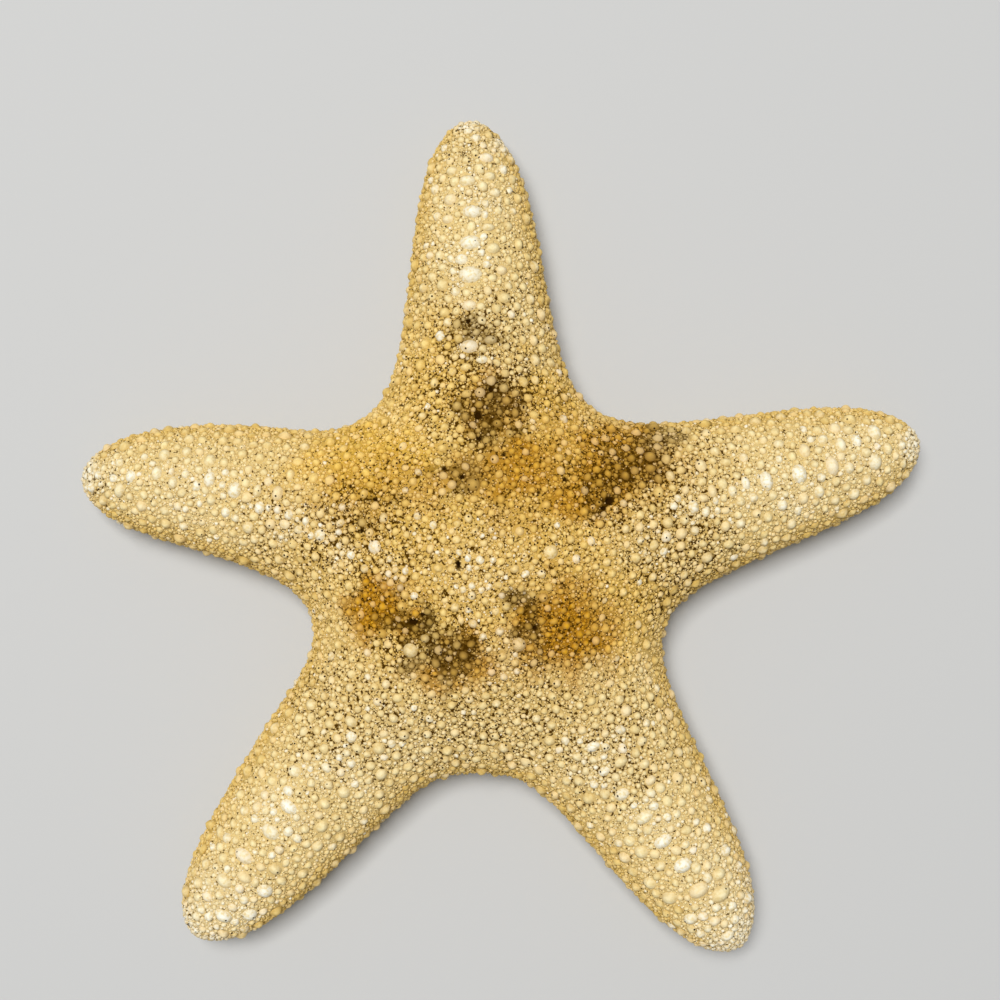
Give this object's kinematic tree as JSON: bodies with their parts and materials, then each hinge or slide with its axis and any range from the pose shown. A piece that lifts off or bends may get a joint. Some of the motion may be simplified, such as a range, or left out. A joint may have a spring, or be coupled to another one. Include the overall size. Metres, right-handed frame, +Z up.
{
  "type": "dried starfish",
  "caption": "Dried starfish with thick, blunt arms round a domed disc, studded with tubercles above and grooved below; a shell ornament that lies flat.",
  "frame": {"origin": "at the bottom, under the middle of the bounding box, on the surface that the starfish rests on", "axes": "+Z up, out of the back of the disc; +Y towards the arm that points up in the picture; +X towards the right of the picture"},
  "size_m": [0.1954, 0.1926, 0.0372],
  "materials": {
    "dried_skin": "rough, dry, granular skin, golden tan with ivory tubercles and brown stains"
  },
  "bodies": {
    "root": {"star_body": "dried_skin"}
  },
  "joints": []
}
